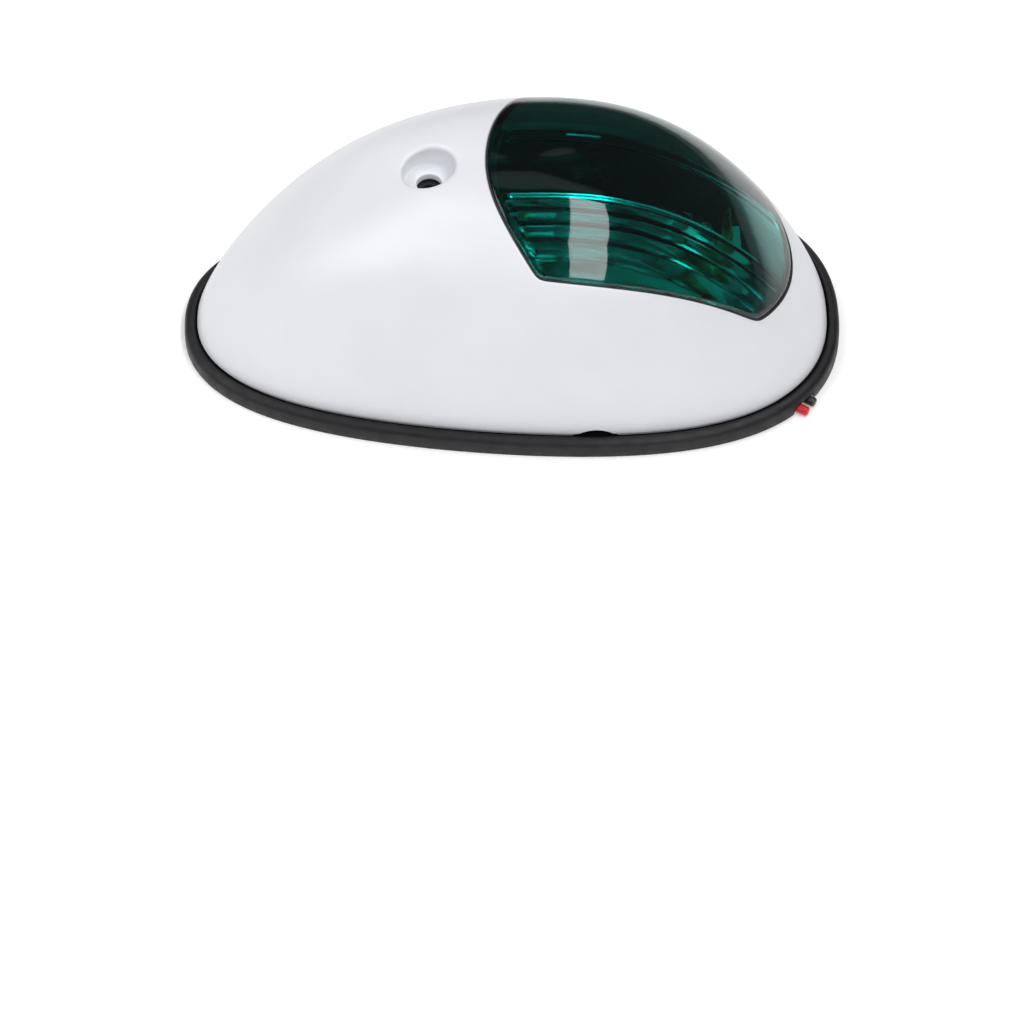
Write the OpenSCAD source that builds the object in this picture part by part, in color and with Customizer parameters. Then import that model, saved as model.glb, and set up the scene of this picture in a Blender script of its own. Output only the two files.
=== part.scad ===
// Side navigation light: a domed cover with a green lens, on a gasketed base with a festoon lamp.
// +X runs to the wide lens end, -Y to the side that the leads leave, +Z away from the deck.
// The gasket's underside lies on z = 0. All sizes are in millimetres.

/* [Cover] */
// Half the length of the cover's outline
half_length = 64.7; // [60:0.1:70]
// Half the width of the cover's outline, before the flare
half_width = 31.6; // [30:0.1:34]
// Height of the crown above the deck
crown_height = 49.6; // [46:0.1:54]
// Wall thickness of the cover
cover_wall = 2.2; // [1.8:0.1:2.6]
// Distance of the cover screw behind the middle
screw_x = -16.3; // [-18:0.1:-14]
// Diameter of the cover screw's hole
screw_hole_d = 5; // [4.4:0.1:5.6]
// Diameter of the recess for the screw's head
screw_recess_d = 10.4; // [9:0.1:11]

/* [Lens] */
// Radius of the window's edge towards the nose
window_nose_r = 35.5; // [34:0.1:37]
// Radius of the window's edge at the wide end
window_bow_r = 27.8; // [26.5:0.1:28.4]
// Radius of the window's two long edges
window_side_r = 114; // [113:0.1:115]
// Thickness of the lens
lens_wall = 2.4; // [2:0.1:2.6]
// Ribs inside each flank of the lens
rib_count = 6; // [4:1:9]
// How far a rib stands into the lens
rib_depth = 1; // [0.6:0.1:1.2]

/* [Base] */
// Height of the gasket's lip above the deck
gasket_height = 4; // [3.8:0.1:4.4]
// Width of the gasket's lip outside the cover
gasket_lip = 2.8; // [2.4:0.1:3.2]
// Height of the base plate's floor above the deck
floor_height = 10; // [10:0.1:10.6]
// Distance between the two mounting holes
mount_spacing = 89; // [86:0.5:90]
// Diameter of a mounting hole
mount_hole_d = 4.5; // [4:0.1:5]

/* [Lamp] */
// Length of the festoon lamp over its caps
lamp_length = 41; // [40:0.5:42]
// Diameter of the lamp's glass
lamp_d = 10.5; // [9:0.5:11]
// Height of the lamp's axis above the deck
lamp_z = 25; // [24:0.5:25.5]
// Diameter of a lead over its insulation
lead_d = 2; // [1.8:0.1:2]

/* [Hidden] */
$fn = 48;

around = 72;                 // points round the outline
ring_count = 14;             // rings from the rim to the crown
flange_top = 2.6;            // height of the gasket flange that the cover stands on
rim_z = flange_top + 0.2;    // lower edge of the cover
crown_x = 1.7;               // the crown lies a little towards the wide end
mount_mid_x = 6;             // middle of the two mounting holes
plate_inset = 2.9;           // base plate's edge inside the cover's outline
pan_inset = 8;               // raised pan's wall inside the outline
pan_wall = 2;
rim_plate_top = 5;
hollow_top = floor_height - 2;
recess_floor_z = 43.2;       // floor of the recess for the cover screw's head
sleeve_foot_z = 41.7;
sleeve_d = 14.8;
post_top_z = 41;
reflector_end = 37.5;
pilot_d = 3.4;
pilot_foot_z = 24;

// Half width of the outline at u, which runs from -1 at the nose to 1 at the wide end.
function side(u, inset) =
    (half_width - inset) * pow(max(0, 1 - u * u), 0.44) * (1 + 0.17 * u + 0.17 * u * u);
function outline_point(t, inset) =
    [(half_length - inset) * cos(t), sign(sin(t)) * side(cos(t), inset)];

// The outline moved outwards by grow, along its normals.
outline = [for (i = [0 : around - 1]) outline_point(i * 360 / around, 0)];
function outward(i) =
    let (step = outline[(i + 1) % around] - outline[(i + around - 1) % around])
    [step[1], -step[0]] / norm(step);
function grown(grow) = [for (i = [0 : around - 1]) outline[i] + grow * outward(i)];

// The dome: the outline shrinks towards the crown while it rises. The long profile is lean and
// the cross profile is full. s is the squared sine of the outline's parameter.
function shrink_power(s) = 0.83 - 0.26 * s;
function rise_power(s) = 1.67 - 0.92 * s;
function dome_point(t, climb, inset) =
    let (s = pow(sin(t), 2), c = pow(cos(climb), shrink_power(s)), p = outline_point(t, inset))
    [crown_x * (1 - c) + c * p[0], c * p[1],
     gasket_height + (crown_height - inset - gasket_height) * pow(sin(climb), rise_power(s))];

// Height of the dome over the plan point (x, y). The shrink c is found by halving.
function reach_gap(x, y, c, inset) =
    let (u = (x - crown_x * (1 - c)) / (c * (half_length - inset)))
    abs(u) >= 1 ? 1 : abs(y) - c * side(u, inset);
function shrink_at(x, y, inset, low, high, turns) =
    let (mid = (low + high) / 2)
    turns == 0 ? mid
    : reach_gap(x, y, mid, inset) > 0 ? shrink_at(x, y, inset, mid, high, turns - 1)
    : shrink_at(x, y, inset, low, mid, turns - 1);
function dome_z(x, y, inset) =
    let (c = shrink_at(x, y, inset, 0.001, 1, 20),
         u = (x - crown_x * (1 - c)) / (c * (half_length - inset)),
         s = max(0, 1 - u * u))
    gasket_height + (crown_height - inset - gasket_height)
        * pow(1 - pow(c, 2 / shrink_power(s)), rise_power(s) / 2);

// The window's plan is bounded by four arcs. in is the distance inside its edge.
nose_arc_x = 30.3;
bow_arc_x = 29;
side_arc_x = 15.2;
side_arc_y = 89.1;
function window_side(x, in) = sqrt(pow(window_side_r - in, 2) - pow(x - side_arc_x, 2)) - side_arc_y;
function nose_end(v, in, turns = 6) =
    let (y = v * window_side(turns == 0 ? 0 : nose_end(v, in, turns - 1), in))
    nose_arc_x - sqrt(pow(window_nose_r - in, 2) - y * y);
function bow_end(v, in, turns = 6) =
    let (y = v * window_side(turns == 0 ? 52 : bow_end(v, in, turns - 1), in))
    bow_arc_x + sqrt(pow(window_bow_r - in, 2) - y * y);
function window_point(u, v, in, inset) =
    let (x = nose_end(v, in) * (1 - u) + bow_end(v, in) * u, y = v * window_side(x, in))
    [x, y, dome_z(x, y, inset)];

// Grid stations on the lens: u along it and v across it. The ribs fill both flanks, and each
// has a valley and a crest.
rib_from = 0.3;
rib_to = 0.93;
us = concat([0, 0.06, 0.07], [for (i = [1 : 9]) 0.07 + i * 0.086], [0.93, 0.94, 1]);
flank = [for (m = [0 : 2 * rib_count]) rib_from + (rib_to - rib_from) * m / (2 * rib_count)];
vs = concat([-1], [for (m = [2 * rib_count : -1 : 0]) -flank[m]], [-0.15, 0, 0.15], flank, [1]);
nu = len(us);
nv = len(vs);
function rib_at(i, j) =
    let (m = j <= 2 * rib_count + 1 ? j - 1 : nv - 2 - j)
    (i < 2 || i > nu - 3 || m < 0 || m > 2 * rib_count || m % 2 == 0) ? 0 : rib_depth;
edge_walk = concat([for (i = [0 : nu - 1]) [i, 0]], [for (j = [1 : nv - 1]) [nu - 1, j]],
    [for (i = [nu - 2 : -1 : 0]) [i, nv - 1]], [for (j = [nv - 2 : -1 : 1]) [0, j]]);
function edge_loop(in, inset) =
    [for (e = edge_walk) window_point(us[e[0]], vs[e[1]], in, inset)];

// Rings of equal length, stitched from each ring to the next.
function bands(n, rings, base = 0, closed = false) =
    [for (k = [0 : rings - (closed ? 1 : 2)], i = [0 : n - 1])
        let (a = base + k * n + i, b = base + k * n + (i + 1) % n,
             c = base + (k + 1) % rings * n + i, d = base + (k + 1) % rings * n + (i + 1) % n)
        each [[a, b, d], [a, d, c]]];

// A closed skin from one end point, through the rings, to the other end point.
module capped_rings(first, rings, last) {
    n = len(rings[0]);
    count = len(rings);
    polyhedron(concat([first], [for (ring = rings) each ring], [last]),
        concat([for (i = [0 : n - 1]) [0, 1 + (i + 1) % n, 1 + i]],
            bands(n, count, 1),
            [for (i = [0 : n - 1])
                let (base = 1 + (count - 1) * n) [base + i, base + (i + 1) % n, count * n + 1]]));
}

// A closed ring whose section is the given loops in turn.
module ring_loops(loops) {
    polyhedron([for (l = loops) each l], bands(len(loops[0]), len(loops), 0, true));
}

// A round tube swept along a route, with flat ends. The route never runs along aside.
function along(route, i) =
    let (a = route[max(0, i - 1)], b = route[min(len(route) - 1, i + 1)]) (b - a) / norm(b - a);
function tube_ring(route, i, d, sides, aside) =
    let (t = along(route, i), g = cross(t, aside), w = g / norm(g), h = cross(w, t))
    [for (k = [0 : sides - 1])
        route[i] + d / 2 * (w * cos(k * 360 / sides) + h * sin(k * 360 / sides))];
module tube(route, d, sides = 8, aside = [0.31, 0.17, -0.93]) {
    capped_rings(route[0], [for (i = [0 : len(route) - 1]) tube_ring(route, i, d, sides, aside)],
        route[len(route) - 1]);
}

// A smooth route of count pieces a span through hand-placed points.
function glide(p, q, r, s, t) = 0.5 * ((2 * q) + (r - p) * t
    + (2 * p - 5 * q + 4 * r - s) * t * t + (3 * q - p - 3 * r + s) * t * t * t);
function smooth(points, count) = let (n = len(points)) concat(
    [for (i = [0 : n - 2], k = [0 : count - 1])
        glide(points[max(0, i - 1)], points[i], points[i + 1], points[min(n - 1, i + 2)],
            k / count)],
    [points[n - 1]]);

// The free leads lie in the hollow under the base, pass the gasket's slot and end cut flush.
lead_z = lead_d / 2 + 0.05;
exit_z = 7;
grommet_x = 20;
grommet_y = 15;
lead_pitch = 2.6;
red_y = grommet_y + lead_pitch / 2;
black_y = grommet_y - lead_pitch / 2;
red_route = [[20, 16.3, 7], [20, 16.3, 5.8], [19.3, 16.3, 3.4], [17.6, 16.3, 1.7],
    [15, 16.3, 1.05], [10, 16.3, 1.05], [4, 16.3, 1.05], [-2, 16.3, 1.05], [-8, 16.3, 1.05],
    [-13, 16.3, 1.05], [-18, 16.3, 1.05], [-23, 15.3, 1.05], [-27.2, 12.5, 1.05],
    [-30, 8.3, 1.05], [-31, 3.3, 1.05], [-30, -1.7, 1.05], [-27.2, -5.9, 1.05],
    [-23, -8.7, 1.05], [-18, -9.7, 1.05], [-12, -9.7, 1.05], [-6, -9.7, 1.05],
    [0, -9.7, 1.05], [6, -9.7, 1.05], [12, -9.7, 1.05], [18, -9.7, 1.05], [24, -9.7, 1.05],
    [30, -9.8, 1.05], [35, -10.6, 1.05], [40, -12.6, 1.05], [45, -15.6, 1.05],
    [50, -19, 1.05], [55, -22.2, 1.05], [59.5, -25.03, 1.05]];
black_route = [[20, 13.7, 7], [20, 13.7, 5.8], [19.3, 13.7, 3.4], [17.6, 13.7, 1.7],
    [15, 13.7, 1.05], [10, 13.7, 1.05], [4, 13.7, 1.05], [-2, 13.7, 1.05], [-8, 13.7, 1.05],
    [-13, 13.7, 1.05], [-18, 13.7, 1.05], [-22, 12.9, 1.05], [-25.4, 10.7, 1.05],
    [-27.6, 7.3, 1.05], [-28.4, 3.3, 1.05], [-27.6, -0.7, 1.05], [-25.4, -4.1, 1.05],
    [-22, -6.3, 1.05], [-18, -7.1, 1.05], [-12, -7.1, 1.05], [-6, -7.1, 1.05],
    [0, -7.1, 1.05], [6, -7.1, 1.05], [12, -7.1, 1.05], [18, -7.1, 1.05], [24, -7.1, 1.05],
    [30, -7.1, 1.05], [36, -7.9, 1.05], [41, -9.8, 1.05], [46, -12.8, 1.05],
    [51, -16.1, 1.05], [56.5, -19.7, 1.05], [61.1, -22.63, 1.05]];
slot_from = [44, -13.4];
slot_to = [66, -27.4];

// The lamp and its holder.
lamp_mid_x = 21;
holder_z = floor_height + 2.2;
holder_t = 2;
strip_t = 0.6;
foot_z = holder_z + holder_t;
rivet_x = [5, 37];
holder_screw_x = [14, 28];
glass_length = 28;

module base_gasket() {
    color("#1c1c1e") difference() {
        union() {
            linear_extrude(flange_top) polygon(grown(gasket_lip));
            linear_extrude(gasket_height - 0.9) polygon(grown(gasket_lip));
            linear_extrude(gasket_height - 0.4) polygon(grown(gasket_lip - 0.2));
            linear_extrude(gasket_height) polygon(grown(gasket_lip - 0.6));
        }
        translate([0, 0, flange_top]) linear_extrude(gasket_height) polygon(grown(0.3));
        translate([0, 0, -1]) linear_extrude(gasket_height + 2) polygon(grown(-pan_inset));
        // Slot under the flange for the two leads
        translate([slot_from[0], slot_from[1], -1])
            rotate(atan2(slot_to[1] - slot_from[1], slot_to[0] - slot_from[0]))
                translate([0, -2.9, 0]) cube([norm(slot_to - slot_from), 5.8, 3.3]);
    }
}

module boss(x, y, z0, z1, d) {
    translate([x, y, z0]) cylinder(h = z1 - z0, d = d);
}

module base_plate() {
    hole_x = [mount_mid_x - mount_spacing / 2, mount_mid_x + mount_spacing / 2];
    color("#26272a") difference() {
        union() {
            translate([0, 0, flange_top]) linear_extrude(rim_plate_top - flange_top)
                polygon(grown(-plate_inset));
            translate([0, 0, flange_top]) linear_extrude(floor_height - flange_top)
                polygon(grown(-pan_inset));
            for (x = holder_screw_x) boss(x, 0, floor_height - 1, holder_z, 7);
        }
        // Hollow underneath
        translate([0, 0, -1]) linear_extrude(hollow_top + 1)
            polygon(grown(-pan_inset - pan_wall));
        for (x = hole_x) boss(x, 0, -1, floor_height + 1, mount_hole_d);
        boss(screw_x, 0, hollow_top - 1, floor_height + 1, 6);
        for (x = holder_screw_x) boss(x, 0, floor_height - 1.2, holder_z + 1, 3);
        boss(grommet_x, grommet_y, 0, floor_height + 1, 6.6);
    }
    // The pillars stand in the hollow down to the deck
    color("#26272a") for (x = hole_x) difference() {
        boss(x, 0, 0.2, hollow_top + 0.1, 9);
        boss(x, 0, 0, floor_height, mount_hole_d);
    }
}

// Post that the cover screw threads into, with a spigot through the base plate's floor
module cover_post() {
    color("#c9a24a") difference() {
        union() {
            boss(screw_x, 0, hollow_top, floor_height, 6);
            boss(screw_x, 0, floor_height, floor_height + 2, 11);
            boss(screw_x, 0, floor_height, post_top_z, 9);
        }
        boss(screw_x, 0, pilot_foot_z, post_top_z + 1, pilot_d);
    }
}

module cover() {
    levels = [for (j = [ring_count - 1 : -1 : 0]) 90 * pow(j / ring_count, 1.2)];
    function wall(inset) = concat(
        [for (level = levels) [for (i = [0 : around - 1])
            dome_point(i * 360 / around, level, inset)]],
        [[for (i = [0 : around - 1])
            let (p = outline_point(i * 360 / around, inset)) [p[0], p[1], rim_z]]]);
    outside = wall(0);
    inside = wall(cover_wall);
    color("#eceef2") difference() {
        union() {
            capped_rings([crown_x, 0, crown_height],
                concat(outside, [for (k = [len(inside) - 1 : -1 : 0]) inside[k]]),
                [crown_x, 0, crown_height - cover_wall]);
            // Sleeve round the screw's recess, cut to the slope of the crown
            intersection() {
                boss(screw_x, 0, sleeve_foot_z, 50, sleeve_d);
                translate([screw_x, 0, 46.2]) rotate([0, -11, 0])
                    translate([-12, -12, -12]) cube([24, 24, 12]);
            }
        }
        translate([0, 0, 9]) linear_extrude(crown_height) intersection() {
            union() {
                intersection() {
                    translate([nose_arc_x, 0]) circle(r = window_nose_r, $fn = 120);
                    translate([-20, -40]) square([20 + bow_arc_x + 0.7, 80]);
                }
                intersection() {
                    translate([bow_arc_x, 0]) circle(r = window_bow_r, $fn = 120);
                    translate([bow_arc_x + 0.6, -40]) square([40, 80]);
                }
            }
            translate([side_arc_x, -side_arc_y]) circle(r = window_side_r, $fn = 360);
            translate([side_arc_x, side_arc_y]) circle(r = window_side_r, $fn = 360);
        }
        boss(screw_x, 0, recess_floor_z, 60, screw_recess_d);
        boss(screw_x, 0, 40, 60, screw_hole_d);
        // Drain notches at the widest point
        translate([16.3, 0, -0.3]) rotate([90, 0, 0]) cylinder(h = 90, r = 5.5, center = true);
    }
}

module lens() {
    skin = [for (j = [0 : nv - 1], i = [0 : nu - 1]) window_point(us[i], vs[j], 0.15, 0)];
    rear = [for (j = [0 : nv - 1], i = [0 : nu - 1])
        window_point(us[i], vs[j], 1.2, lens_wall + rib_at(i, j))];
    walk = len(edge_walk);
    base = nu * nv;
    loops = concat(edge_loop(0.15, 3), edge_loop(-1.8, 3), edge_loop(-1.8, 3.9),
        edge_loop(1.2, 3.9));
    rear_base = base + 4 * walk;
    function cell(j, i) = j * nu + i;
    function rim(k) = let (e = edge_walk[k % walk]) cell(e[1], e[0]);
    color([0, 0.42, 0.28, 0.75]) polyhedron(concat(skin, loops, rear), concat(
        [for (j = [0 : nv - 2], i = [0 : nu - 2]) each [
            [cell(j, i), cell(j + 1, i + 1), cell(j, i + 1)],
            [cell(j, i), cell(j + 1, i), cell(j + 1, i + 1)]]],
        [for (k = [0 : walk - 1]) let (a = base + k, b = base + (k + 1) % walk) each [
            [rim(k), rim(k + 1), b], [rim(k), b, a]]],
        bands(walk, 4, base),
        [for (k = [0 : walk - 1])
            let (a = base + 3 * walk + k, b = base + 3 * walk + (k + 1) % walk) each [
                [a, b, rear_base + rim(k + 1)], [a, rear_base + rim(k + 1), rear_base + rim(k)]]],
        [for (j = [0 : nv - 2], i = [0 : nu - 2]) each [
            [rear_base + cell(j, i), rear_base + cell(j, i + 1), rear_base + cell(j + 1, i + 1)],
            [rear_base + cell(j, i), rear_base + cell(j + 1, i + 1),
             rear_base + cell(j + 1, i)]]]));
}

module lens_seal() {
    color("#3a3d40") ring_loops([edge_loop(-0.3, 2.45), edge_loop(-1.6, 2.45),
        edge_loop(-1.6, 2.9), edge_loop(-0.3, 2.9)]);
}

// Black shroud round the lamp: a wall behind it, which cuts the light off abaft the beam, and a
// wall round the other three sides that falls with the dome towards the wide end
module cutoff_screen() {
    color("#17181a") {
        translate([-8.1, 0, floor_height]) rotate([90, 0, -90]) linear_extrude(1.4)
            polygon([[-21.8, 0], [21.8, 0], [21.8, 22], [14, 31.5], [-14, 31.5], [-21.8, 22]]);
        difference() {
            translate([0, 0, floor_height]) linear_extrude(22) difference() {
                polygon(grown(-pan_inset - 0.2));
                polygon(grown(-pan_inset - 1.6));
                translate([-100, -50]) square([91.2, 100]);
            }
            // Window through each side wall
            translate([12.8, -50, 17.6]) cube([6.2, 100, 3.7]);
            // Sloping top
            translate([0, 50, 0]) rotate([90, 0, 0]) linear_extrude(100)
                polygon([[-20, 31.5], [14, 31.5], [27, 28.5], [40, 22], [50, 15.6], [58, 12.4],
                    [80, 12.4], [80, 40], [-20, 40]]);
        }
    }
}

module reflector() {
    color("#d9dcdf") difference() {
        translate([0, 0, floor_height]) linear_extrude(0.8) difference() {
            polygon(grown(-pan_inset - 2));
            translate([-89.2, -50]) square([100, 100]);
            translate([reflector_end, -50]) square([100, 100]);
        }
        for (x = holder_screw_x) boss(x, 0, 5, 15, 7.6);
        boss(grommet_x, grommet_y, 5, 15, 10);
    }
}

module lamp_holder() {
    color("#6f7276") difference() {
        union() {
            translate([-4, -7, holder_z]) cube([49.5, 14, holder_t]);
            translate([-6, -17, holder_z]) cube([16.6, 34, holder_t]);
            translate([-3.6, -6, foot_z]) cube([3, 12, 8]);
            translate([42.6, -6, foot_z]) cube([2.9, 12, 8]);
        }
        for (x = holder_screw_x) boss(x, 0, holder_z - 1, holder_z + 5, 3.2);
        for (x = rivet_x) boss(x, 0, holder_z - 1, holder_z + 5, 2.5);
    }
}

module holder_screws() {
    color("#b9bcc0") for (x = holder_screw_x) difference() {
        union() {
            boss(x, 0, floor_height - 0.8, foot_z + 0.4, 2.9);
            translate([x, 0, foot_z]) cylinder(h = 1.8, d1 = 5.6, d2 = 4.4);
        }
        for (turn = [0, 90]) translate([x, 0, foot_z + 1.6]) rotate(turn)
            cube([3, 0.7, 1.6], center = true);
    }
}

// A spring strip: foot on the holder, leg up past the lamp's cap, lip turned outwards
module contact(face_x, inward) {
    strip_h = lamp_z - foot_z + 3;
    color("#c9a24a") difference() {
        union() {
            translate([face_x, -4, foot_z]) cube([strip_t, 8, strip_h]);
            translate([inward > 0 ? face_x : face_x + strip_t - 9.4, -4, foot_z])
                cube([9.4, 8, strip_t]);
            translate([face_x + strip_t / 2 - inward * strip_t / 2, 0, foot_z + strip_h])
                rotate([0, -inward * 25, 0])
                    translate([inward > 0 ? 0 : -strip_t, -4, -0.2]) cube([strip_t, 8, 2]);
        }
        translate([face_x - 2, 0, lamp_z]) rotate([0, 90, 0]) cylinder(h = 5, d = 4.6);
        boss(inward > 0 ? rivet_x[0] : rivet_x[1], 0, foot_z - 1, foot_z + 3, 2.5);
    }
}
module contact_aft() { contact(-0.4, 1); }
module contact_forward() { contact(41.8, -1); }

module contact_rivets() {
    color("#c8b070") for (x = rivet_x) {
        boss(x, 0, holder_z - 0.7, foot_z + 1.3, 2.4);
        translate([x, 0, foot_z + 1.2]) cylinder(h = 0.9, d1 = 4.8, d2 = 3.4);
        boss(x, 0, holder_z - 0.8, holder_z, 4.2);
    }
}

// A ring terminal under the rivet's head, with a barrel crimped on the lead
module terminal(x) {
    barrel_z = foot_z + strip_t + 1.2;
    color("#c4c7cb") difference() {
        union() {
            boss(x, 0, foot_z + strip_t, foot_z + 2 * strip_t, 6.4);
            translate([x - 1.4, 2, foot_z + strip_t]) cube([2.8, 3.4, strip_t]);
            translate([x, 4.6, barrel_z]) rotate([-90, 0, 0]) cylinder(h = 5, d = 3.2);
        }
        boss(x, 0, foot_z, foot_z + 3, 2.5);
        translate([x, 5.6, barrel_z]) rotate([-90, 0, 0]) cylinder(h = 6, d = lead_d + 0.1);
    }
}
module terminal_red() { terminal(rivet_x[1]); }
module terminal_black() { terminal(rivet_x[0]); }

module lamp_glass() {
    end = glass_length / 2 - lamp_d / 2;
    color([0.9, 0.95, 0.95, 0.4]) translate([lamp_mid_x, 0, lamp_z]) rotate([0, 90, 0])
        difference() {
            union() {
                cylinder(h = 2 * end, d = lamp_d, center = true);
                for (z = [-end, end]) translate([0, 0, z]) sphere(d = lamp_d);
            }
            cylinder(h = 2 * end, d = lamp_d - 1.6, center = true);
            for (z = [-end, end]) translate([0, 0, z]) sphere(d = lamp_d - 1.6);
        }
}

// A cup over the glass's end, stepping down to the pointed tip that sits in the contact
module lamp_cap(way) {
    tip = lamp_length / 2;
    color("#cfd2d6") translate([lamp_mid_x, 0, lamp_z]) rotate([0, way * 90, 0])
        rotate_extrude() polygon([[0, tip], [1.3, tip - 0.8], [2.1, tip - 1.6], [3.4, tip - 2.2],
            [4.2, tip - 3.2], [4.2, tip - 8], [3.8, tip - 8], [3.8, tip - 6.3], [0, tip - 6.3]]);
}
module lamp_cap_aft() { lamp_cap(-1); }
module lamp_cap_forward() { lamp_cap(1); }

// A coiled filament hanging between two stiff feed wires, with slack in the middle
module lamp_filament() {
    turns = 9;
    coil = [for (k = [0 : turns * 8]) let (x = -6 + 12 * k / (turns * 8))
        [lamp_mid_x + x, 0.7 * cos(k * 45), lamp_z - 1.2 * cos(x * 15) + 0.7 * sin(k * 45)]];
    color("#8d8f93") {
        tube(coil, 0.3, 6, [1, 0, 0]);
        for (way = [-1, 1]) translate([lamp_mid_x + way * 9.1, 0, lamp_z]) rotate([0, 90, 0])
            cylinder(h = 6, d = 0.6, center = true, $fn = 16);
    }
}

module inner_lead_red() {
    color("#b3202a") tube(smooth([[37, 6, 16], [37, 9.4, 16], [36.2, 12.6, 16], [33.8, 15.4, 16],
        [30, 16.3, 16], [26, 16.3, 16], [22.8, 16.3, 15.2], [20.6, 16.3, 13.2], [20, 16.3, 10.8],
        [20, 16.3, 7]], 2), lead_d);
}
module inner_lead_black() {
    color("#1d1d1f") tube(smooth([[5, 6, 16], [5, 9.2, 16], [5.8, 11.8, 16], [8, 13.4, 16],
        [11, 13.7, 16], [14.4, 13.7, 16], [17.4, 13.7, 15.2], [19.4, 13.7, 13.2], [20, 13.7, 10.8],
        [20, 13.7, 7]], 2), lead_d);
}

module lead_grommet() {
    color("#151516") difference() {
        union() {
            boss(grommet_x, grommet_y, hollow_top - 1, hollow_top, 9);
            boss(grommet_x, grommet_y, hollow_top - 0.5, floor_height + 0.5, 6.5);
            boss(grommet_x, grommet_y, floor_height, floor_height + 1, 9);
        }
        for (y = [red_y, black_y]) boss(grommet_x, y, 0, floor_height + 4, lead_d + 0.1);
    }
}

module lead_red() { color("#c0202b") tube(red_route, lead_d); }
module lead_black() { color("#1a1a1c") tube(black_route, lead_d); }

base_gasket();
base_plate();
cover_post();
cover();
lens();
lens_seal();
cutoff_screen();
reflector();
lamp_holder();
holder_screws();
contact_aft();
contact_forward();
contact_rivets();
terminal_red();
terminal_black();
lamp_glass();
lamp_cap_aft();
lamp_cap_forward();
lamp_filament();
inner_lead_red();
inner_lead_black();
lead_grommet();
lead_red();
lead_black();
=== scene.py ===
"""A side navigation light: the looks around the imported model. Shapes are worked out in the
model's own millimetres and turned into metres where a mesh or curve is made."""
import math

import bmesh
import bpy
import numpy as np
from mathutils import Matrix, Vector


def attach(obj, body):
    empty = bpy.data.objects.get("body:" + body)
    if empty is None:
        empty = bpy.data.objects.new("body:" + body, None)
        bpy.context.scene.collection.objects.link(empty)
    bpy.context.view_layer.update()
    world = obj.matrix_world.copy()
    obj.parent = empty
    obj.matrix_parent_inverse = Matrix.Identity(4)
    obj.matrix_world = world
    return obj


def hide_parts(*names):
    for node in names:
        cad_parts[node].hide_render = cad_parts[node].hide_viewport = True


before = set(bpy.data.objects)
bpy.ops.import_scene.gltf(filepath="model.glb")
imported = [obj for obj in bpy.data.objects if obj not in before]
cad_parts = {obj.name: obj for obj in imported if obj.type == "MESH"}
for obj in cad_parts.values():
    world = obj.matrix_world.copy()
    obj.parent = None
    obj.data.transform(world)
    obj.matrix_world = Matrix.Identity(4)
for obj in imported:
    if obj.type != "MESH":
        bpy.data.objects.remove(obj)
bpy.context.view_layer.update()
MM = 0.001

# Camera --------------------------------------------------------------------------------------

AZIMUTH = math.radians(-1.0)
ELEVATION = math.radians(48.3)
AIM = Vector((0, 0, 20)) * MM
DISTANCE = 700 * MM
FOCAL_MM = 121.4
SENSOR_MM = 36
TILT_DOWN = math.radians(4.16)


def make_camera():
    back = Vector((math.sin(AZIMUTH) * math.cos(ELEVATION),
                   -math.cos(AZIMUTH) * math.cos(ELEVATION), math.sin(ELEVATION)))
    data = bpy.data.cameras.new("camera")
    data.lens = FOCAL_MM
    data.sensor_width = SENSOR_MM
    data.clip_start = 0.01
    camera = bpy.data.objects.new("camera", data)
    bpy.context.scene.collection.objects.link(camera)
    turn = back.to_track_quat("Z", "Y").to_matrix().to_4x4()
    camera.matrix_world = (Matrix.Translation(AIM + back * DISTANCE) @ turn
                           @ Matrix.Rotation(-TILT_DOWN, 4, "X"))
    bpy.context.scene.camera = camera


make_camera()

# Mesh helpers --------------------------------------------------------------------------------


def mesh_object(name, points, faces, body, smooth_angle=40):
    """A mesh piece from points in millimetres, riding on a body."""
    mesh = bpy.data.meshes.new(name)
    mesh.from_pydata([tuple(p) for p in np.asarray(points) * MM], [], faces)
    shape = bmesh.new()
    shape.from_mesh(mesh)
    bmesh.ops.remove_doubles(shape, verts=shape.verts, dist=2e-6)
    bmesh.ops.recalc_face_normals(shape, faces=shape.faces)
    shape.to_mesh(mesh)
    shape.free()
    mesh.polygons.foreach_set("use_smooth", [True] * len(mesh.polygons))
    mesh.set_sharp_from_angle(angle=math.radians(smooth_angle))
    piece = bpy.data.objects.new(name, mesh)
    bpy.context.scene.collection.objects.link(piece)
    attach(piece, body)
    return piece


def bands(rings, closed=False):
    """Faces between rings of vertex numbers, each ring the same length and joined round."""
    faces = []
    count = len(rings[0])
    pairs = list(zip(rings, rings[1:])) + ([(rings[-1], rings[0])] if closed else [])
    for low, high in pairs:
        for i in range(count):
            j = (i + 1) % count
            faces.append((low[i], low[j], high[j], high[i]))
    return faces


# The last knots of a wire: distance from its end, and radius as a share of the wire's
WIRE_END = ((0.5, 1.0), (0.18, 0.9), (0.0, 0.66))


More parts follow.
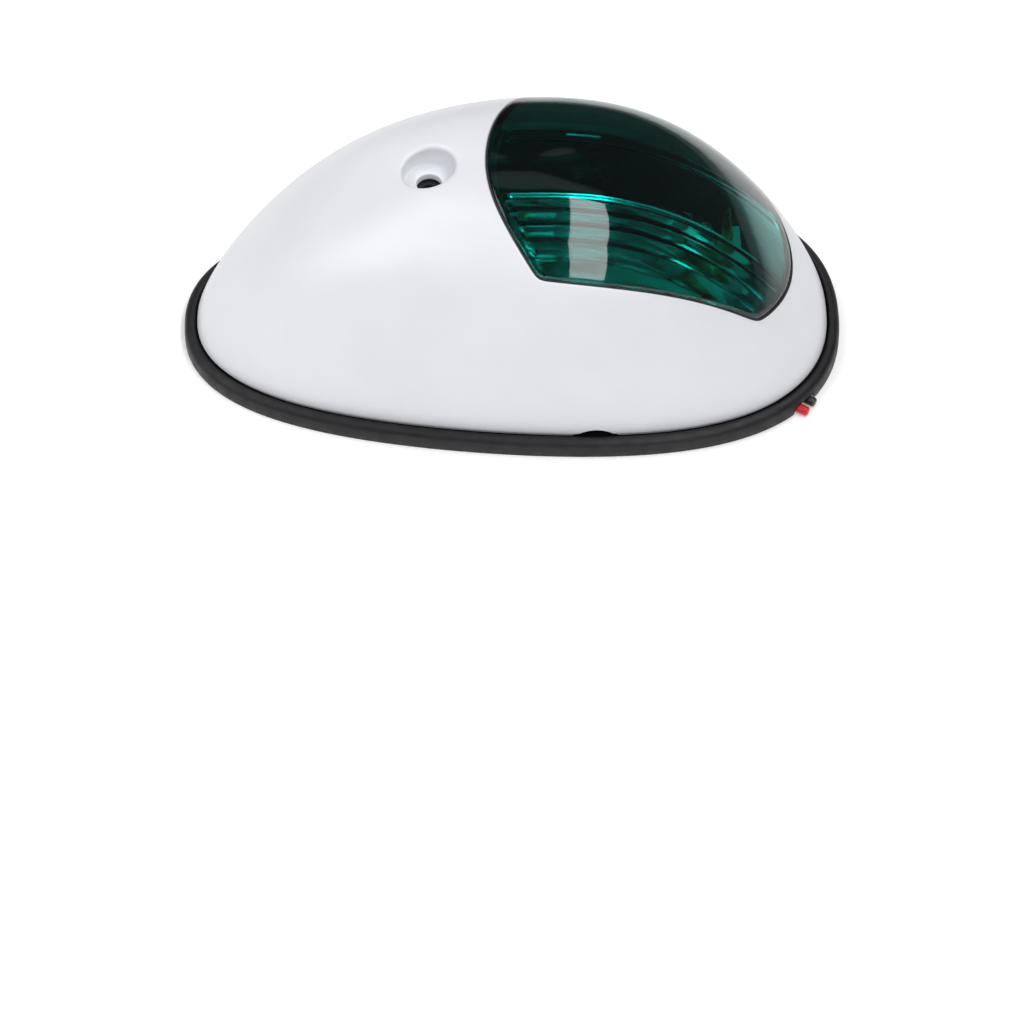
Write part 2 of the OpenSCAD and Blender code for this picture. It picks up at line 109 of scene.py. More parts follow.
def curve_piece(name, points, diameter, body, material):
    """A round wire along points in millimetres, its last end slightly rounded."""
    end = Vector(points[-1])
    way = (end - Vector(points[-2])).normalized()
    points = [*points[:-1], *(end - way * back for back, share in WIRE_END)]
    data = bpy.data.curves.new(name, "CURVE")
    data.dimensions = "3D"
    data.bevel_depth = diameter / 2 * MM
    data.bevel_resolution = 6
    data.use_fill_caps = True
    data.resolution_u = 8
    spline = data.splines.new("BEZIER")
    spline.bezier_points.add(len(points) - 1)
    for knot, point in zip(spline.bezier_points, points):
        knot.co = Vector(point) * MM
        knot.handle_left_type = knot.handle_right_type = "AUTO"
    for knot, (back, share) in zip(spline.bezier_points[-len(WIRE_END):], WIRE_END):
        knot.radius = share
    data.materials.append(material)
    piece = bpy.data.objects.new(name, data)
    bpy.context.scene.collection.objects.link(piece)
    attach(piece, body)
    return piece


# Materials -----------------------------------------------------------------------------------


class Finish:
    """A node material that starts as a Principled shader and gains detail from noise."""

    def __init__(self, name, colour, roughness=0.5, metallic=0.0, **sockets):
        self.material = bpy.data.materials.new(name)
        self.material.use_nodes = True
        self.tree = self.material.node_tree
        self.shader = self.tree.nodes["Principled BSDF"]
        self.shader.inputs["Base Color"].default_value = (*colour, 1)
        self.shader.inputs["Roughness"].default_value = roughness
        self.shader.inputs["Metallic"].default_value = metallic
        for socket, value in sockets.items():
            self.shader.inputs[socket.replace("_", " ")].default_value = value
        self.colour = colour
        self.roughness = roughness
        self.place = self.node("ShaderNodeTexCoord").outputs["Object"]
        self.normal = None

    def node(self, kind, **inputs):
        made = self.tree.nodes.new(kind)
        for socket, value in inputs.items():
            made.inputs[socket.replace("_", " ")].default_value = value
        return made

    def link(self, out, socket):
        self.tree.links.new(out, socket)

    def noise(self, size_mm, detail=3.0, stretch=(1, 1, 1)):
        """Noise with features of about size_mm, as a value round 0.5."""
        mapping = self.node("ShaderNodeMapping")
        mapping.inputs["Scale"].default_value = [1 / (size_mm * MM * s) for s in stretch]
        self.link(self.place, mapping.inputs["Vector"])
        made = self.node("ShaderNodeTexNoise", Scale=1.0, Detail=detail, Roughness=0.55)
        self.link(mapping.outputs["Vector"], made.inputs["Vector"])
        return made.outputs["Fac"]

    def ranged(self, value, low, high, from_low=0.3, from_high=0.7):
        made = self.node("ShaderNodeMapRange")
        for socket, number in zip(("From Min", "From Max", "To Min", "To Max"),
                                  (from_low, from_high, low, high)):
            made.inputs[socket].default_value = number
        self.link(value, made.inputs["Value"])
        return made.outputs["Result"]

    def vary_roughness(self, size_mm, spread, detail=4.0, stretch=(1, 1, 1)):
        fac = self.noise(size_mm, detail, stretch)
        self.link(self.ranged(fac, self.roughness - spread, self.roughness + spread),
                  self.shader.inputs["Roughness"])
        return self

    def vary_colour(self, size_mm, other, amount=1.0, detail=4.0, from_low=0.35, from_high=0.65):
        mix = self.node("ShaderNodeMix")
        mix.data_type = "RGBA"
        mix.inputs["A"].default_value = (*self.colour, 1)
        mix.inputs["B"].default_value = (*other, 1)
        fac = self.noise(size_mm, detail)
        self.link(self.ranged(fac, 0, amount, from_low, from_high), mix.inputs["Factor"])
        self.link(mix.outputs["Result"], self.shader.inputs["Base Color"])
        return self

    def fade_towards(self, way, near, far, colour):
        """Turns to another colour between two distances along a direction, in metres."""
        along = self.node("ShaderNodeVectorMath")
        along.operation = "DOT_PRODUCT"
        self.link(self.place, along.inputs[0])
        along.inputs[1].default_value = Vector(way).normalized()
        mix = self.node("ShaderNodeMix")
        mix.data_type = "RGBA"
        mix.inputs["B"].default_value = (*colour, 1)
        self.link(self.shader.inputs["Base Color"].links[0].from_socket, mix.inputs["A"])
        self.link(self.ranged(along.outputs["Value"], 0, 1, near, far), mix.inputs["Factor"])
        self.link(mix.outputs["Result"], self.shader.inputs["Base Color"])
        return self

    def bump(self, size_mm, height_mm, detail=3.0, stretch=(1, 1, 1), strength=1.0):
        made = self.node("ShaderNodeBump", Strength=strength, Distance=height_mm * MM)
        self.link(self.noise(size_mm, detail, stretch), made.inputs["Height"])
        if self.normal is not None:
            self.link(self.normal, made.inputs["Normal"])
        self.normal = made.outputs["Normal"]
        self.link(self.normal, self.shader.inputs["Normal"])
        return self


def make_materials():
    made = {}
    made["white_plastic"] = (
        Finish("white_plastic", (0.78, 0.79, 0.825), 0.34, IOR=1.5)
        .vary_colour(14, (0.755, 0.768, 0.805)).vary_roughness(3, 0.05)
        .bump(0.5, 0.006).bump(9, 0.03))
    made["gasket_rubber"] = (
        Finish("gasket_rubber", (0.007, 0.007, 0.0085), 0.5, IOR=1.4)
        .vary_colour(5, (0.012, 0.012, 0.014)).vary_roughness(2, 0.1)
        .bump(0.35, 0.02).bump(4, 0.05))
    made["base_plastic"] = (
        Finish("base_plastic", (0.022, 0.023, 0.026), 0.55)
        .vary_colour(6, (0.034, 0.035, 0.038)).vary_roughness(1.5, 0.1).bump(0.3, 0.03))
    made["black_plastic"] = (
        Finish("black_plastic", (0.006, 0.0065, 0.007), 0.7)
        .vary_colour(5, (0.012, 0.012, 0.013)).vary_roughness(1.5, 0.08).bump(0.3, 0.02))
    made["holder_plastic"] = (
        Finish("holder_plastic", (0.6, 0.61, 0.6), 0.45)
        .vary_colour(5, (0.52, 0.53, 0.52)).vary_roughness(1.5, 0.08).bump(0.3, 0.01))
    made["seal_rubber"] = (
        Finish("seal_rubber", (0.02, 0.02, 0.022), 0.75)
        .vary_colour(3, (0.035, 0.035, 0.037)).bump(0.3, 0.02))
    made["reflector_metal"] = (
        Finish("reflector_metal", (0.88, 0.9, 0.9), 0.35, 0.25)
        .vary_colour(6, (0.78, 0.81, 0.82)).vary_roughness(1.2, 0.08, stretch=(6, 1, 1))
        .bump(0.4, 0.01, stretch=(5, 1, 1)))
    made["screw_steel"] = (
        Finish("screw_steel", (0.62, 0.63, 0.64), 0.32, 1.0)
        .vary_colour(1.5, (0.5, 0.5, 0.5)).vary_roughness(0.8, 0.1).bump(0.2, 0.01))
    made["contact_brass"] = (
        Finish("contact_brass", (0.72, 0.53, 0.24), 0.34, 1.0)
        .vary_colour(3, (0.55, 0.38, 0.17)).vary_roughness(1.2, 0.12, stretch=(1, 1, 6))
        .bump(0.25, 0.01, stretch=(1, 1, 6)))
    made["tinned_terminal"] = (
        Finish("tinned_terminal", (0.66, 0.67, 0.68), 0.4, 1.0)
        .vary_colour(1.5, (0.52, 0.53, 0.54)).vary_roughness(0.8, 0.12).bump(0.3, 0.02))
    made["cap_metal"] = (
        Finish("cap_metal", (0.7, 0.7, 0.69), 0.26, 1.0)
        .vary_colour(2, (0.58, 0.57, 0.55)).vary_roughness(1, 0.08, stretch=(8, 1, 1))
        .bump(0.3, 0.01, stretch=(8, 1, 1)))
    made["filament_metal"] = (
        Finish("filament_metal", (0.36, 0.36, 0.38), 0.4, 1.0)
        .vary_colour(1, (0.25, 0.25, 0.27)).bump(0.1, 0.005))
    made["lamp_glass"] = (
        Finish("lamp_glass", (0.95, 0.97, 0.97), 0.03, IOR=1.5, Transmission_Weight=1.0)
        .vary_roughness(3, 0.02).bump(3, 0.02))
    made["red_insulation"] = (
        Finish("red_insulation", (0.62, 0.012, 0.02), 0.34)
        .vary_colour(4, (0.5, 0.008, 0.015)).vary_roughness(2, 0.08).bump(0.4, 0.01))
    made["black_insulation"] = (
        Finish("black_insulation", (0.012, 0.012, 0.013), 0.36)
        .vary_colour(4, (0.022, 0.022, 0.023)).vary_roughness(2, 0.08).bump(0.4, 0.01))
    made["copper"] = (
        Finish("copper", (0.72, 0.36, 0.2), 0.35, 1.0)
        .vary_colour(0.6, (0.5, 0.22, 0.12)).vary_roughness(0.5, 0.1).bump(0.15, 0.01))
    made["green_lens"] = (
        Finish("green_lens", (0.0, 0.64, 0.56), 0.02, IOR=1.49, Transmission_Weight=1.0)
        .vary_roughness(5, 0.01).bump(6, 0.006))
    made["green_frosted"] = (
        Finish("green_frosted", (0.0, 0.66, 0.58), 0.2, IOR=1.49, Transmission_Weight=1.0)
        .vary_roughness(0.5, 0.06).bump(0.3, 0.007))
    # Ribbed inner faces: a little rougher, and a paler, brighter green than the rest of the same
    # moulding, painted light for the glow the ribs show
    made["green_ribbed_painted_light"] = (
        Finish("green_ribbed_painted_light", (0.0, 0.84, 0.75), 0.15, IOR=1.49, Transmission_Weight=1.0)
        .vary_roughness(2, 0.03).bump(2, 0.004))
    # Far inner faces: opaque dark green, painted shade for the dark space seen through the lens's
    # far flank
    made["lens_painted_shade"] = (
        Finish("lens_painted_shade", (0.004, 0.018, 0.016), 0.4)
        .vary_colour(4, (0.007, 0.03, 0.026)).vary_roughness(2, 0.08).bump(0.5, 0.01))
    return {name: finish.material for name, finish in made.items()}


MATERIALS = make_materials()

# Leads ---------------------------------------------------------------------------------------

LEAD_D = 2.0
RED_ROUTE = [
    (20, 16.3, 7), (20, 16.3, 5.8), (19.3, 16.3, 3.4), (17.6, 16.3, 1.7), (15, 16.3, 1.05),
    (10, 16.3, 1.05), (4, 16.3, 1.05), (-2, 16.3, 1.05), (-8, 16.3, 1.05), (-13, 16.3, 1.05),
    (-18, 16.3, 1.05), (-23, 15.3, 1.05), (-27.2, 12.5, 1.05), (-30, 8.3, 1.05),
    (-31, 3.3, 1.05), (-30, -1.7, 1.05), (-27.2, -5.9, 1.05), (-23, -8.7, 1.05),
    (-18, -9.7, 1.05), (-12, -9.7, 1.05), (-6, -9.7, 1.05), (0, -9.7, 1.05), (6, -9.7, 1.05),
    (12, -9.7, 1.05), (18, -9.7, 1.05), (24, -9.7, 1.05), (30, -9.8, 1.05), (35, -10.6, 1.05),
    (40, -12.6, 1.05), (45, -15.6, 1.05), (50, -19, 1.05), (55, -22.2, 1.05),
    (59.5, -25.03, 1.05)]
BLACK_ROUTE = [
    (20, 13.7, 7), (20, 13.7, 5.8), (19.3, 13.7, 3.4), (17.6, 13.7, 1.7), (15, 13.7, 1.05),
    (10, 13.7, 1.05), (4, 13.7, 1.05), (-2, 13.7, 1.05), (-8, 13.7, 1.05), (-13, 13.7, 1.05),
    (-18, 13.7, 1.05), (-22, 12.9, 1.05), (-25.4, 10.7, 1.05), (-27.6, 7.3, 1.05),
    (-28.4, 3.3, 1.05), (-27.6, -0.7, 1.05), (-25.4, -4.1, 1.05), (-22, -6.3, 1.05),
    (-18, -7.1, 1.05), (-12, -7.1, 1.05), (-6, -7.1, 1.05), (0, -7.1, 1.05), (6, -7.1, 1.05),
    (12, -7.1, 1.05), (18, -7.1, 1.05), (24, -7.1, 1.05), (30, -7.1, 1.05), (36, -7.9, 1.05),
    (41, -9.8, 1.05), (46, -12.8, 1.05), (51, -16.1, 1.05), (56.5, -19.7, 1.05),
    (61.1, -22.63, 1.05)]


STRAND_R = 0.2
STRAND_LAY_R = 0.42
STRAND_SIDES = 10
# Along a strand: distance past the insulation's end, and radius
STRAND_RINGS = ((-1.5, STRAND_R), (0.02, STRAND_R), (0.06, 0.15))


def strands(name, route):
    """The lead's seven copper strands, cut just proud of the insulation."""
    end, before = Vector(route[-1]), Vector(route[-2])
    way = (end - before).normalized()
    across = way.cross(Vector((0, 0, 1))).normalized()
    up = across.cross(way)
    points, faces = [], []
    turns = [k * math.pi / 3 for k in range(6)]
    centres = [(0, 0)] + [(STRAND_LAY_R * math.cos(t), STRAND_LAY_R * math.sin(t))
                          for t in turns]
    for right, rise in centres:
        middle = end + across * right + up * rise
        rings = []
        for reach, radius in STRAND_RINGS:
            start = len(points)
            for k in range(STRAND_SIDES):
                angle = 2 * math.pi * k / STRAND_SIDES
                points.append(middle + way * reach
                              + (across * math.cos(angle) + up * math.sin(angle)) * radius)
            rings.append(list(range(start, start + STRAND_SIDES)))
        faces += bands(rings) + [tuple(reversed(rings[0])), tuple(rings[-1])]
    piece = mesh_object(name, points, faces, "base")
    piece.data.materials.append(MATERIALS["copper"])
    return piece


def make_leads():
    for colour, route in (("red", RED_ROUTE), ("black", BLACK_ROUTE)):
        lead = curve_piece(f"lead_{colour}_flex", route, LEAD_D, "base",
                           MATERIALS[f"{colour}_insulation"])
        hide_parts(f"lead_{colour}")
        core = strands(f"lead_{colour}_strands", route)


make_leads()

# The dome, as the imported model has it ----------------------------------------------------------

HALF_LENGTH = 64.7
HALF_WIDTH = 31.6
CROWN = 49.6
DOME_FOOT = 4.0
CROWN_X = 1.7
RIM_Z = 2.8
COVER_WALL = 2.2


def side(u, inset):
    """Half width of the outline, where u runs from -1 at the nose to 1 at the wide end."""
    return (HALF_WIDTH - inset) * np.maximum(0, 1 - u * u) ** 0.44 * (1 + 0.17 * u + 0.17 * u * u)


def outside_of(x, y, c, inset):
    """Whether (x, y) is outside the outline shrunk by c towards the crown."""
    u = (x - CROWN_X * (1 - c)) / (c * (HALF_LENGTH - inset))
    return (np.abs(u) >= 1) | (np.abs(y) > c * side(u, inset))


def halve(is_low, low, high, turns=44):
    """The value between low and high where is_low stops holding, for whole arrays."""
    for _ in range(turns):
        middle = (low + high) / 2
        below = is_low(middle)
        low, high = np.where(below, middle, low), np.where(below, high, middle)
    return (low + high) / 2


def dome_z(x, y, inset):
    """Height of the dome over plan points."""
    x, y = np.broadcast_arrays(np.asarray(x, float), np.asarray(y, float))
    c = halve(lambda m: outside_of(x, y, m, inset), np.full(x.shape, 0.001), np.ones(x.shape))
    u = (x - CROWN_X * (1 - c)) / (c * (HALF_LENGTH - inset))
    s = np.maximum(0, 1 - u * u)
    lift = np.maximum(0, 1 - c ** (2 / (0.83 - 0.26 * s))) ** ((1.67 - 0.92 * s) / 2)
    return DOME_FOOT + (CROWN - inset - DOME_FOOT) * lift


# The window's plan ------------------------------------------------------------------------------

# Arcs of the window's edge: the place of the centre on x, and the radius
NOSE_ARC_X, NOSE_ARC_R = 30.3, 35.5
BOW_ARC_X, BOW_ARC_R = 29.0, 27.8
SIDE_ARC_X, SIDE_ARC_Y, SIDE_ARC_R = 15.2, 89.1, 114
ARC_SWAP_X = 29.65
CORNER_BLEND = 0.35


def inside_window(x, y):
    """Distance in plan inside the window's edge, with the corners blended."""
    nose = NOSE_ARC_R - np.hypot(x - NOSE_ARC_X, y)
    bow = BOW_ARC_R - np.hypot(x - BOW_ARC_X, y)
    ends = np.where(x < ARC_SWAP_X, nose, bow)
    near = SIDE_ARC_R - np.hypot(x - SIDE_ARC_X, y - SIDE_ARC_Y)
    far = SIDE_ARC_R - np.hypot(x - SIDE_ARC_X, y + SIDE_ARC_Y)
    least = np.minimum(np.minimum(ends, near), far)
    total = sum(np.exp(-(d - least) / CORNER_BLEND) for d in (ends, near, far))
    return least - CORNER_BLEND * np.log(total)


# Cover ---------------------------------------------------------------------------------------

RAY_X = 27.0
RAYS = 480
RINGS_OUT = 84
RINGS_IN = 30
SCREW_X = -16.3
RECESS_R = 5.2
RECESS_FLOOR = 43.2
HOLE_R = 2.5
SLEEVE_R = 7.4
SLEEVE_FOOT = 41.7
NOTCH_X, NOTCH_Z, NOTCH_R = 16.3, -0.3, 5.5
EDGE_ROUND = 0.4
COVER_SMOOTH = 35
RECESS_LIP = 0.9
RECESS_FLOOR_ROUND = 0.5
# Half sizes of the blocks of the cover's grid that make way for the screw's recess and sleeve
OUTER_BLOCK, INNER_BLOCK = 8.2, 9.0
# Section of the foot under the cover's outline: distance inwards, and height
FOOT_STEPS = ((0.06, 3.92), (0.2, 3.86), (0.5, 3.84), (0.6, 3.74), (0.6, RIM_Z))
# Corners of the window, as x and y to either side, where the rays stand closest together
CORNERS = ((4.6, 24.4), (48.2, 20.1))
CORNER_CROWDING, CORNER_SPREAD = 5, 0.035


def ray_angles():
    """Ray directions, closer together towards the window's four corners."""
    fine = np.linspace(0, 2 * math.pi, 20001)
    weight = np.ones_like(fine)
    for x, y in CORNERS:
        for way in (1, -1):
            middle = math.atan2(way * y, x - RAY_X) % (2 * math.pi)
            gap = np.abs((fine - middle + math.pi) % (2 * math.pi) - math.pi)
            weight += CORNER_CROWDING * np.exp(-(gap / CORNER_SPREAD) ** 2)
    total = np.cumsum(weight)
    total = (total - total[0]) / (total[-1] - total[0])
    return np.interp(np.arange(RAYS) / RAYS, total, fine)


def along_rays(angles, reach):
    return RAY_X + reach * np.cos(angles), reach * np.sin(angles)


def window_reach(angles, inset=0.0):
    """Distance along each ray to the window's edge."""
    def inside(r):
        return inside_window(*along_rays(angles, r)) > inset
    return halve(inside, np.zeros(len(angles)), np.full(len(angles), 60.0))


def shrink_reach(angles, c, inset):
    """Distance along each ray to the outline shrunk by c."""
    def inside(r):
        return ~outside_of(*along_rays(angles, r), c, inset)
    return halve(inside, np.zeros(len(angles)), np.full(len(angles), 110.0))


def dome_rings(angles, start, count, inset):
    """Rings over the dome from the distances start out to the foot, as (count + 1, rays, 3)."""
    x, y = along_rays(angles, start)
    c = halve(lambda m: outside_of(x, y, m, inset), np.full(x.shape, 0.001), np.ones(x.shape))
    climb = np.arccos(np.minimum(1, c ** (1 / 0.6)))
    rings = []
    for k in range(count + 1):
        left = (1 - k / count) ** 1.25
        reach = start if k == 0 else shrink_reach(angles, np.cos(climb * left) ** 0.6, inset)
        x, y = along_rays(angles, reach)
        z = dome_z(x, y, inset) if k < count else np.full(len(angles), DOME_FOOT)
        rings.append(np.stack([x, y, z], 1))
    return np.array(rings)


def notch_height(x):
    """Height of a drain notch's arch over x, and 0 outside it."""
    return NOTCH_Z + np.sqrt(np.maximum(0, NOTCH_R ** 2 - (x - NOTCH_X) ** 2))


def raise_for_notch(rings):
    """Moves what lies in a drain notch up to its arch, along the same wall."""
    rings = rings.copy()
    arch = notch_height(rings[-1, :, 0])
    for i in np.nonzero(arch > RIM_Z)[0]:
        column = rings[:, i]
        order = np.argsort(column[:, 2])
        for axis in (0, 1):
            found = np.interp(arch[i], column[order, 2], column[order, axis])
            column[:, axis] = np.where(column[:, 2] < arch[i], found, column[:, axis])
        column[:, 2] = np.maximum(column[:, 2], arch[i])
    return rings


def rounded_edge(angles, radius, steps=4):
    """Rings that round the window's outer edge, from the wall up on to the dome."""
    rings = []
    for k in range(steps + 1):
        turn = math.pi / 2 * k / steps
        reach = window_reach(angles) + radius * (1 - math.cos(turn))
        x, y = along_rays(angles, reach)
        z = dome_z(x, y, 0) - radius * (1 - math.sin(turn))
        rings.append(np.stack([x, y, z], 1))
    return np.array(rings)


def foot_rings(last):
    """Rings that take the cover's foot in under its rounded edge and down to the rim."""
    way = np.roll(last, -1, 0) - np.roll(last, 1, 0)
    inward = np.stack([-way[:, 1], way[:, 0]], 1) / np.hypot(way[:, 0], way[:, 1])[:, None]
    rings = []
    for inset, z in FOOT_STEPS:
        ring = last.copy()
        ring[:, :2] += inward * inset
        ring[:, 2] = z
        rings.append(ring)
    return np.array(rings)


def cover_section(angles):
    """Closed loop of rings: window wall, rounded edge, outside, rim and inside."""
    edge = rounded_edge(angles, EDGE_ROUND)
    start = window_reach(angles) + EDGE_ROUND
    outside = dome_rings(angles, start, RINGS_OUT, 0)[1:]
    foot = foot_rings(outside[-1])
    outside = raise_for_notch(np.concatenate([edge[-1:], outside, foot]))[1:]
    inside = dome_rings(angles, window_reach(angles), RINGS_IN, COVER_WALL)
    inner_foot = inside[-1].copy()
    inner_foot[:, 2] = RIM_Z
    inside = raise_for_notch(np.concatenate([inside, [inner_foot]]))
    return edge, outside, inside[::-1]


def round_screw(boundary):
    """Angles of boundary points about the screw's axis."""
    return np.unwrap(np.arctan2(boundary[:, 1], boundary[:, 0] - SCREW_X))


def loop_at(angles, radius, z):
    """A circle about the screw's axis at height z, or at (dome's inset, height above it)."""
    x = SCREW_X + radius * np.cos(angles)
    y = radius * np.sin(angles)
    height = dome_z(x, y, z[0]) + z[1] if isinstance(z, tuple) else np.full(len(angles), z)
    return np.stack([x, y, height], 1)


def block_edge(grid, rows, columns):
    """Vertex numbers round a block of the grid, in order."""
    top, bottom = rows
    left, right = columns
    edge = [grid[top][c] for c in range(left, right)]
    edge += [grid[r][right] for r in range(top, bottom)]
    edge += [grid[bottom][c] for c in range(right, left, -1)]
    edge += [grid[r][left] for r in range(bottom, top, -1)]
    return edge


def make_cover():
    angles = ray_angles()
    edge, outside, inside = cover_section(angles)
    rings = np.concatenate([edge, outside, inside])
    count = len(rings)
    grid = np.arange(count * RAYS).reshape(count, RAYS)
    points = list(rings.reshape(-1, 3))
    # Blocks round the screw, on the outside and on the inside
    behind = int(np.argmin(np.abs(angles - math.pi)))
    reach = np.hypot(rings[:, behind, 0] - RAY_X, rings[:, behind, 1])
    blocks = []
    first_in = len(edge) + len(outside)
    last_out = first_in - len(FOOT_STEPS)
    for begin, stop, radius in ((len(edge), last_out, OUTER_BLOCK),
                                (first_in, count, INNER_BLOCK)):
        rows = [r for r in range(begin, stop)
                if abs(RAY_X - reach[r] - SCREW_X) < radius]
        half = math.asin(radius / (RAY_X - SCREW_X))
        columns = [i for i in range(RAYS) if abs(angles[i] - math.pi) < half]
        # One row more each way, as the rows near the window lie far apart
        blocks.append(((min(rows) - 1, max(rows) + 1), (min(columns), max(columns))))
    skipped = set()
    for (top, bottom), (left, right) in blocks:
        skipped |= {(r, c) for r in range(top, bottom) for c in range(left, right)}
    faces = []
    for r in range(count):
        for i in range(RAYS):
            if (r, i) not in skipped:
                j, below = (i + 1) % RAYS, (r + 1) % count
                faces.append((grid[r][i], grid[r][j], grid[below][j], grid[below][i]))
    outer = block_edge(grid, *blocks[0])
    inner = block_edge(grid, *blocks[1])
    outer_angles = round_screw(np.array([points[v] for v in outer]))
    loops = [outer]

    def add(loop):
        start = len(points)
        points.extend(loop)
        loops.append(list(range(start, start + len(loop))))

    outer_points = np.array([points[v] for v in outer])
    for k in range(1, 5):
        mix = k / 4
        flat = loop_at(outer_angles, RECESS_R + RECESS_LIP, (0, 0))
        blended = outer_points * (1 - mix) + flat * mix
        blended[:, 2] = dome_z(blended[:, 0], blended[:, 1], 0)
        add(blended)
    for k in range(1, 6):
        turn = math.pi / 2 * k / 5
        add(loop_at(outer_angles, RECESS_R + RECESS_LIP * (1 - math.sin(turn)),
                    (0, -RECESS_LIP * (1 - math.cos(turn)))))
    for k in range(6):
        turn = math.pi / 2 * k / 5
        add(loop_at(outer_angles, RECESS_R - RECESS_FLOOR_ROUND * (1 - math.cos(turn)),
                    RECESS_FLOOR + RECESS_FLOOR_ROUND * (1 - math.sin(turn))))
    for radius, z in ((HOLE_R + 1.2, RECESS_FLOOR), (HOLE_R + 0.2, RECESS_FLOOR),
                      (HOLE_R + 0.06, RECESS_FLOOR - 0.06), (HOLE_R, RECESS_FLOOR - 0.2),
                      (HOLE_R, SLEEVE_FOOT + 0.1), (HOLE_R + 0.1, SLEEVE_FOOT)):
        add(loop_at(outer_angles, radius, z))
    faces += bands(loops)
    # The sleeve's loops have as many points as the inner block's edge, so they start afresh
    inner_points = np.array([points[v] for v in inner])
    inner_angles = round_screw(inner_points)
    loops = [inner]
    for k in range(1, 4):
        mix = k / 3
        flat = loop_at(inner_angles, SLEEVE_R + 0.3, (COVER_WALL, 0))
        blended = inner_points * (1 - mix) + flat * mix
        blended[:, 2] = dome_z(blended[:, 0], blended[:, 1], COVER_WALL)
        add(blended)
    add(loop_at(inner_angles, SLEEVE_R, (COVER_WALL, -0.3)))
    add(loop_at(inner_angles, SLEEVE_R, SLEEVE_FOOT + 0.2))
    add(loop_at(inner_angles, SLEEVE_R - 0.2, SLEEVE_FOOT))
    faces += bands(loops)
    piece = mesh_object("cover_shell", np.array(points), faces, "cover",
                        COVER_SMOOTH)
    close_sleeve(piece)
    piece.data.materials.append(MATERIALS["white_plastic"])
    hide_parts("cover")


def close_sleeve(piece):
    """Joins the hole's edge and the sleeve's edge, of different lengths, across its foot."""
    shape = bmesh.new()
    shape.from_mesh(piece.data)
    shape.verts.ensure_lookup_table()
    open_edges = [e for e in shape.edges if e.is_boundary]
    bmesh.ops.bridge_loops(shape, edges=open_edges)
    bmesh.ops.recalc_face_normals(shape, faces=shape.faces)
    shape.to_mesh(piece.data)
    shape.free()
    piece.data.polygons.foreach_set("use_smooth", [True] * len(piece.data.polygons))
    piece.data.set_sharp_from_angle(angle=math.radians(COVER_SMOOTH))


make_cover()

# Lens ------------------------------------------------------------------------------------------

LENS_GAP = 0.45
LENS_WALL = 2.4
LENS_LIP = 1.5
LENS_EDGE_ROUND, LENS_EDGE_PART = 0.25, 0.07
# Flange under the cover's edge: how far past the window, and depths of its top and its foot
FLANGE_REACH = 1.8
FLANGE_TOP, FLANGE_FOOT = 3, 3.9
RIB_FROM = 7.4
FAR_RIB_FROM = 6.0
FAR_RIB_DEPTH = 0.16
# Past this y, on the far side, the inner face is opaque dark green: painted shade for the dark
# space seen through the lens's far flank
PAINTED_SHADE_FROM = 9.5
RIB_TO = 23.4
RIB_VALLEY = 8.8
RIB_PITCH = 2.85
RIB_DEPTH = 0.55
RIB_START = 1.6
# Its finish on the near side is the frosted one up to this x, and beyond it the ribbed one with
# its painted light
FROST_X = 11.2
LENS_FINISHES = ("green_lens", "green_frosted", "green_ribbed_painted_light", "lens_painted_shade")


def lens_rows(gap):
    """Values of y for the lens's rows, closest together at its two long edges."""
    top = SIDE_ARC_R - SIDE_ARC_Y - gap
    steps = [0.02, 0.06, 0.12, 0.2, 0.3, 0.42, 0.56, 0.72, 0.9, 1.1, 1.3, 1.5]
    half = [top - s for s in steps]
    rest = half[-1]
    count = int(rest / 0.2)
    half += [rest * (1 - (k + 1) / count) for k in range(count)]
    half = np.array(half)
    return np.concatenate([-half[:-1], half[::-1]])


def row_ends(y, gap):
    """Where rows of constant y meet the line gap inside the window's edge."""
    middle = np.full(y.shape, SIDE_ARC_X)
    left = halve(lambda x: inside_window(x, y) > gap, middle, np.full(y.shape, -8.0))
    right = halve(lambda x: inside_window(x, y) > gap, middle, np.full(y.shape, 60.0))
    return left, right


def sheet_points(rows, stations, gap, z_of):
    """Grid points with their edge gap inside the window, rows scaled to fit."""
    top = SIDE_ARC_R - SIDE_ARC_Y
    y = rows * (top - gap) / (top - LENS_GAP)
    left, right = row_ends(y, gap)
    x = left[:, None] + (right - left)[:, None] * stations[None, :]
    y = np.repeat(y[:, None], len(stations), 1)
    return np.stack([x, y, z_of(x, y)], 2)


def rib_height(x, y, left_edge):
    """How far the rounded ribs stand in from the lens's smooth inner face."""
    across = np.abs(y)
    wave = np.abs(np.sin(math.pi * (across - RIB_VALLEY) / RIB_PITCH))
    near = (y < -RIB_FROM) * RIB_DEPTH
    far = (y > FAR_RIB_FROM) * FAR_RIB_DEPTH
    start = np.clip((x - left_edge - RIB_START) / 0.3, 0, 1)
    return (near + far) * wave * (across < RIB_TO) * start


